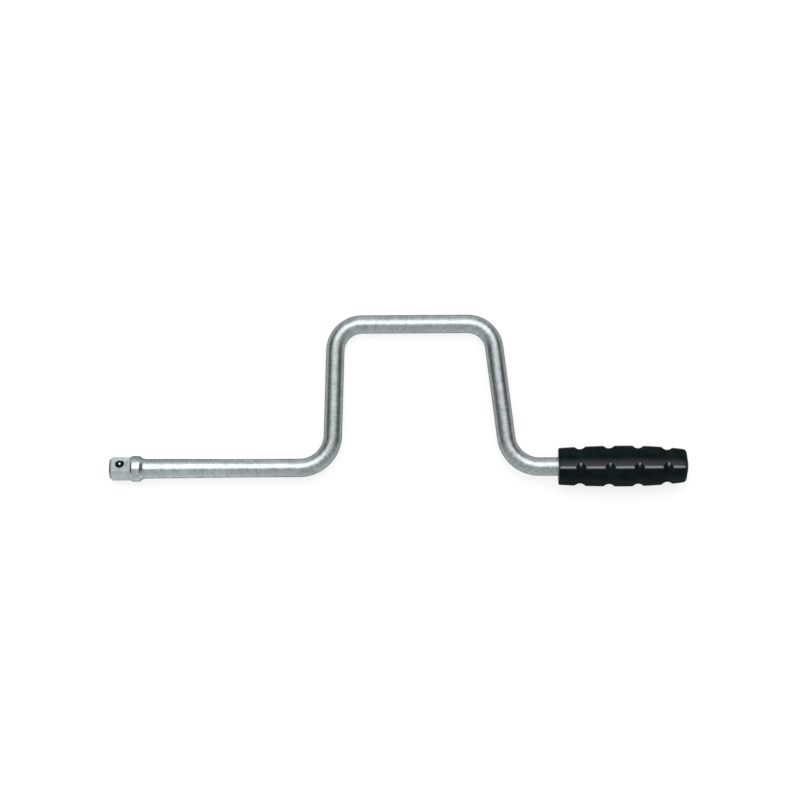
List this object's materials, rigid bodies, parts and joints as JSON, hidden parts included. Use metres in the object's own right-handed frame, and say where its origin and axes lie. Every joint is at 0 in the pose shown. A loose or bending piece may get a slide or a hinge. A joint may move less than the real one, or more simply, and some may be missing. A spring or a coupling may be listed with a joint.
{
  "type": "speed brace",
  "caption": "Bent round steel crank with a male square drive and sprung detent ball at one end, and a ridged black plastic grip that spins freely on the other, for turning sockets quickly.",
  "frame": {"origin": "centre of the drive square's end face, on the drive axis", "axes": "+X along the drive axis from the square to the grip, +Y from the drive axis towards the crown of the crank, +Z square to the crank's plane"},
  "size_m": [0.44, 0.1315, 0.0314],
  "materials": {
    "chromed_steel": "satin",
    "ball_steel": "polished",
    "spring_steel": "plain",
    "zinc_plate": "plated",
    "bronze": "sintered",
    "grip_plastic": "semi-gloss"
  },
  "bodies": {
    "crank": {"crank_bar": "chromed_steel", "detent_spring": "spring_steel", "front_washer": "zinc_plate", "rear_washer": "zinc_plate", "retaining_clip": "spring_steel"},
    "ball": {"detent_ball": "ball_steel"},
    "handle": {"grip": "grip_plastic", "front_bush": "bronze", "rear_bush": "bronze", "end_cap": "grip_plastic"}
  },
  "joints": [
    {"name": "handle_spin", "type": "hinge", "parent": "crank", "child": "handle", "pos_m": [0.341, 0, 0], "axis": [1, 0, 0], "continuous": true},
    {"name": "ball_press", "type": "slide", "parent": "crank", "child": "ball", "axis": [0, -0.6157, -0.788], "range_m": [0, 0.0009], "stiffness_N_per_m": 2000, "springref_m": -0.002, "deforming": ["detent_spring"]}
  ]
}
